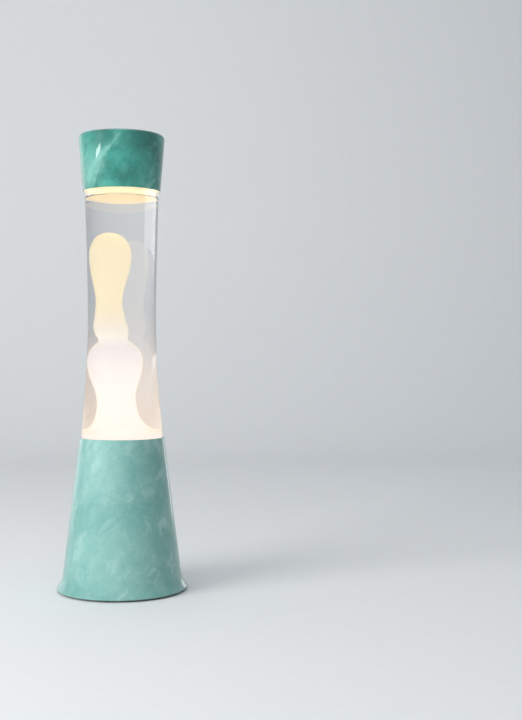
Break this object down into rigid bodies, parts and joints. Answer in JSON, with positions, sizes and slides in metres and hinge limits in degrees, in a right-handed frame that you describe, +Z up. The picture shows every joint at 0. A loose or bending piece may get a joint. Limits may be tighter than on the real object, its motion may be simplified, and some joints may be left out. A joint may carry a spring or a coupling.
{
  "type": "lava lamp",
  "caption": "Lava lamp: a waisted glass bottle of clear liquid and rising wax between a flared round base and a tapered cap.",
  "frame": {"origin": "middle of the surface the lamp stands on", "axes": "+Z up along the lamp's axis, -Y to the front, and the cord inlet at the back on +Y"},
  "size_m": [0.113, 0.113, 0.395],
  "materials": {
    "marbled_base": "gloss marbled enamel, pale aqua with cloudy patches",
    "marbled_cap": "gloss marbled enamel, deeper teal",
    "clear_glass": "polished",
    "lamp_liquid": "clear, a faint lilac-grey",
    "cream_wax": "satin, lit from below",
    "zinc_steel": "bright zinc",
    "brass": "satin",
    "gold_tinplate": "gold lacquer",
    "black_rubber": "matte",
    "clear_silicone": "satin, translucent",
    "black_plastic": "matte",
    "white_plastic": "satin",
    "white_ceramic": "satin",
    "frosted_glass": "frosted inside",
    "tungsten": "dark",
    "brown_insulation": "satin",
    "blue_insulation": "satin",
    "earth_insulation": "satin, green with a yellow stripe"
  },
  "bodies": {
    "base": {"base_shell": "marbled_base", "cord_grommet": "black_rubber", "bottle_seat_ring": "zinc_steel", "seat_gasket": "clear_silicone", "bottom_plate": "black_plastic", "plate_lug_1": "zinc_steel", "plate_lug_2": "zinc_steel", "plate_lug_3": "zinc_steel", "plate_screw_1": "zinc_steel", "plate_screw_2": "zinc_steel", "plate_screw_3": "zinc_steel", "rubber_foot_1": "black_rubber", "rubber_foot_2": "black_rubber", "rubber_foot_3": "black_rubber", "rubber_foot_4": "black_rubber", "holder_bridge": "zinc_steel", "bridge_screw_1": "zinc_steel", "bridge_screw_2": "zinc_steel", "threaded_nipple": "brass", "nipple_nut": "zinc_steel", "holder_body": "white_ceramic", "socket_thread_shell": "brass", "socket_tongue": "brass", "terminal_block": "white_plastic", "terminal_screw_live": "brass", "terminal_screw_neutral": "brass", "terminal_screw_earth": "brass", "block_fixing_screw": "zinc_steel", "lead_live": "brown_insulation", "lead_neutral": "blue_insulation", "lead_earth": "earth_insulation", "earth_tag": "brass", "earth_screw": "zinc_steel"},
    "bulb_tip": {"bulb_tip_contact": "brass"},
    "bulb": {"bulb_glass": "frosted_glass", "bulb_screw_cap": "brass", "bulb_insulator": "black_plastic", "bulb_stem": "clear_glass", "bulb_filament": "tungsten"},
    "bottle": {"glass_bottle": "clear_glass", "liquid": "lamp_liquid", "wax": "cream_wax", "wax_lens": "cream_wax", "heat_coil": "zinc_steel", "crown_closure": "gold_tinplate", "closure_liner": "white_plastic"},
    "cap": {"cap_shell": "marbled_cap", "cap_insert": "white_plastic"}
  },
  "joints": [
    {"name": "bottle_lift", "type": "slide", "parent": "base", "child": "bottle", "axis": [0, 0, 1], "range_m": [0, 0.04]},
    {"name": "cap_lift", "type": "slide", "parent": "bottle", "child": "cap", "axis": [0, 0, 1], "range_m": [0, 0.06]},
    {"name": "bulb_rise", "type": "slide", "parent": "base", "child": "bulb_tip", "axis": [0, 0, 1], "range_m": [0, 0.0113]},
    {"name": "bulb_turn", "type": "hinge", "parent": "bulb_tip", "child": "bulb", "pos_m": [0, 0, 0.07], "axis": [0, 0, 1], "range_deg": [0, 1440]}
  ],
  "couplings": [
    {"joint": "bulb_rise", "follows": "bulb_turn", "m_per_rad": 0.00044882}
  ]
}
